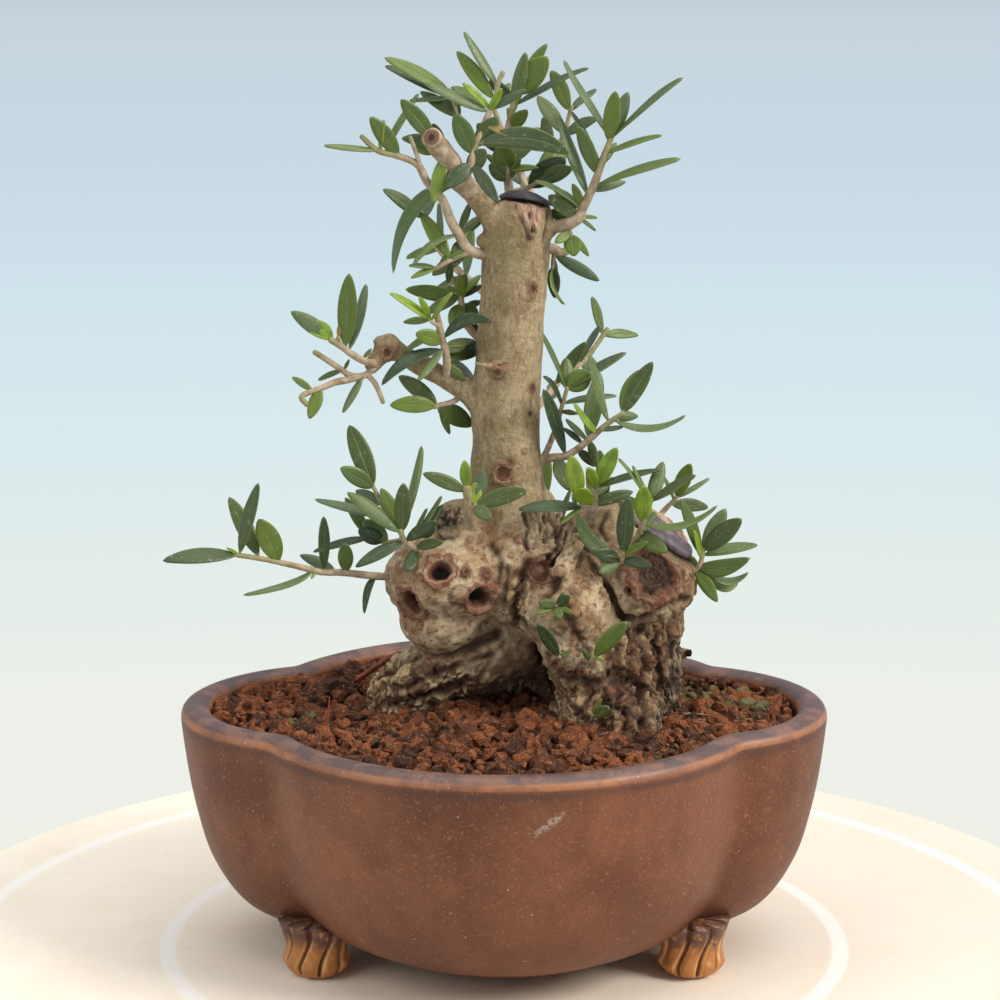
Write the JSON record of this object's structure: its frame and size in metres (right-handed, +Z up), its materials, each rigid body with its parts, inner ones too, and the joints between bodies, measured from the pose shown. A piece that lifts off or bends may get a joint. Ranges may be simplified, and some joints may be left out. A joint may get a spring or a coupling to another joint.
{
  "type": "bonsai tree",
  "caption": "Small olive bonsai with a swollen knotted base and leafy sprays, in granular soil in a shallow four-lobed pot on paw feet.",
  "frame": {"origin": "centre of the pot's outline on the ground, level with the undersides of its feet", "axes": "+Z up, +X to the right along the pot's long side, -Y to the front that the tree faces"},
  "size_m": [0.16, 0.139, 0.2246],
  "materials": {
    "stoneware": "satin",
    "granules": "matt",
    "bark": "matt",
    "leaf": "satin",
    "cap_paste": "satin",
    "facet_paste": "matt",
    "wire": "satin",
    "drain_mesh": "matt"
  },
  "bodies": {
    "root": {"pot": "stoneware", "soil": "granules", "trunk": "bark", "wound_paste_top": "cap_paste", "wound_paste_side": "facet_paste", "anchor_wire": "wire", "drain_mesh_left": "drain_mesh", "drain_mesh_right": "drain_mesh", "spray_crown_left": "leaf", "spray_upper_left": "leaf", "spray_crown_middle": "leaf", "spray_crown_right": "leaf", "spray_right_hanging": "leaf", "spray_inner_left": "leaf", "spray_mid_left": "leaf", "spray_branch_end": "leaf", "spray_branch_low": "leaf", "spray_under_branch": "leaf", "spray_mid_right": "leaf", "spray_low_left": "leaf", "spray_low_left_cluster": "leaf", "spray_cup": "leaf", "spray_ribbed_stub": "leaf", "spray_low_right": "leaf", "spray_lump_right": "leaf", "spray_top_right": "leaf", "spray_far_right": "leaf", "sprout_face": "leaf", "sprout_low_left": "leaf", "sprout_low_right": "leaf", "sprout_root": "leaf", "spray_back_crown": "leaf", "spray_back_left": "leaf", "spray_back_right": "leaf", "spray_back_low": "leaf"}
  },
  "joints": []
}
